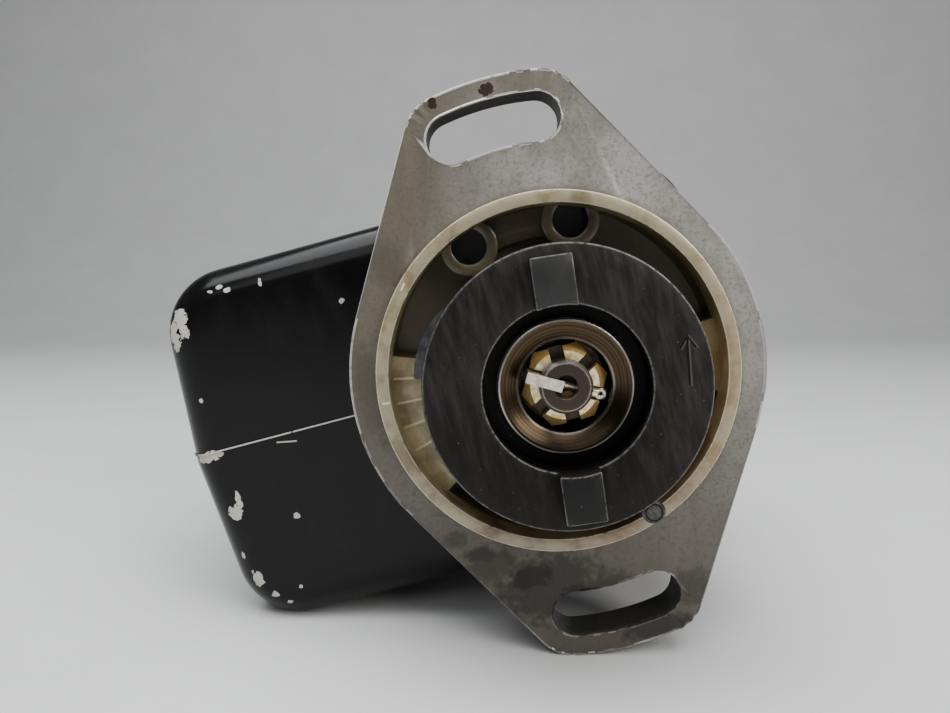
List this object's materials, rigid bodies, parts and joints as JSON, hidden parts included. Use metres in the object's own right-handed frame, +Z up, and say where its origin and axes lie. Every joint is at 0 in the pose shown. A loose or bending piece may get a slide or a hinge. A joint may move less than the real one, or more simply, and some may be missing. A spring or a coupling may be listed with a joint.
{
  "type": "aircraft magneto",
  "caption": "Flange-mounted ignition magneto with a snap coupling on its drive shaft, a black painted body and a distributor inside its rear casting.",
  "frame": {"origin": "centre of the locating ring on the flange's mounting face", "axes": "-Y out of the drive end along the drive axis, +Z up as the unit rests on a bench on one flange ear and one body edge, +X to the right seen from the drive end"},
  "size_m": [0.1444, 0.1546, 0.1306],
  "materials": {
    "cast_body": "bare cast flange, black painted body",
    "black_paint": "gloss black, chipped",
    "plated_steel": "plated",
    "plain_steel": "machined",
    "bearing_steel": "ground",
    "hub_steel": "turned, oil stained",
    "dark_steel": "black oxide, worn edges",
    "spring_steel": "blued",
    "gold_plate": "yellow plated",
    "lamination": "laminated",
    "magnet_alloy": "ground",
    "bridge_alloy": "cast",
    "coil_wrap": "varnished tape",
    "gear_plastic": "moulded",
    "block_plastic": "moulded",
    "brass": "satin",
    "carbon": "matte",
    "arm_fibre": "laminated fibre",
    "condenser_can": "drawn can",
    "seal_rubber": "matte",
    "plug_plastic": "moulded"
  },
  "bodies": {
    "housing": {"drive_housing": "cast_body", "distributor_housing": "black_paint", "housing_screws": "plated_steel", "stop_pin": "plain_steel", "oil_seal": "seal_rubber", "front_bearing_outer_ring": "bearing_steel", "rear_bearing_outer_ring": "bearing_steel", "bearing_bridge": "bridge_alloy", "bridge_screws": "plated_steel", "upper_pole_shoe": "lamination", "lower_pole_shoe": "lamination", "coil_winding": "coil_wrap", "coil_core": "lamination", "distributor_axle": "plain_steel", "distributor_block": "block_plastic", "outlet_contacts": "brass", "carbon_brush": "carbon", "breaker_plate": "plated_steel", "breaker_posts": "plated_steel", "breaker_pivot": "plated_steel", "fixed_point": "plated_steel", "condenser": "condenser_can", "condenser_nut": "plated_steel", "timing_plug": "plug_plastic", "vent_plug": "plug_plastic"},
    "rotor": {"rotor_shaft": "plain_steel", "rotor_magnet": "magnet_alloy", "shaft_spacer": "plain_steel", "drive_pinion": "brass", "breaker_cam": "plain_steel", "cam_screw": "plated_steel", "front_bearing_inner_ring": "bearing_steel", "rear_bearing_inner_ring": "bearing_steel", "coupling_hub": "hub_steel", "hub_key": "plain_steel", "flyweight_pins": "plain_steel", "coupling_spring": "spring_steel", "nut_washer": "plated_steel", "castle_nut": "gold_plate", "cotter_pin": "plain_steel"},
    "coupling": {"coupling_disc": "dark_steel"},
    "flyweight_one": {"flyweight_a": "dark_steel"},
    "flyweight_two": {"flyweight_b": "dark_steel"},
    "distributor": {"distributor_gear": "gear_plastic", "distributor_finger": "brass"},
    "breaker": {"breaker_arm": "arm_fibre", "breaker_spring": "spring_steel"},
    "front_balls": {"front_bearing_balls": "bearing_steel"},
    "rear_balls": {"rear_bearing_balls": "bearing_steel"}
  },
  "joints": [
    {"name": "rotor_turn", "type": "hinge", "parent": "housing", "child": "rotor", "pos_m": [0, 0, 0], "axis": [0, -1, 0], "continuous": true},
    {"name": "coupling_windup", "type": "hinge", "parent": "rotor", "child": "coupling", "pos_m": [0, 0, 0], "axis": [0, -1, 0], "range_deg": [0, 25], "stiffness_Nm_per_rad": 0.4, "springref_deg": -28.65, "deforming": ["coupling_spring"]},
    {"name": "flyweight_one_swing", "type": "hinge", "parent": "rotor", "child": "flyweight_one", "pos_m": [-0.00816, -0.0031, 0.01782], "axis": [0, -1, 0], "range_deg": [-8, 6]},
    {"name": "flyweight_two_swing", "type": "hinge", "parent": "rotor", "child": "flyweight_two", "pos_m": [0.00816, -0.0031, -0.01782], "axis": [0, -1, 0], "range_deg": [-8, 6]},
    {"name": "distributor_turn", "type": "hinge", "parent": "housing", "child": "distributor", "pos_m": [-0.04065, 0.085, -0.01058], "axis": [0, -1, 0], "continuous": true},
    {"name": "breaker_rock", "type": "hinge", "parent": "housing", "child": "breaker", "pos_m": [0.01869, 0.096, 0.02347], "axis": [0, -1, 0], "range_deg": [0, 3], "stiffness_Nm_per_rad": 0.3, "springref_deg": -11.46},
    {"name": "front_balls_turn", "type": "hinge", "parent": "housing", "child": "front_balls", "pos_m": [0, 0.0255, 0], "axis": [0, -1, 0], "continuous": true},
    {"name": "rear_balls_turn", "type": "hinge", "parent": "housing", "child": "rear_balls", "pos_m": [0, 0.072, 0], "axis": [0, -1, 0], "continuous": true}
  ],
  "couplings": [
    {"joint": "distributor_turn", "follows": "rotor_turn", "ratio": -0.33333},
    {"joint": "front_balls_turn", "follows": "rotor_turn", "ratio": 0.392},
    {"joint": "rear_balls_turn", "follows": "rotor_turn", "ratio": 0.37727}
  ]
}
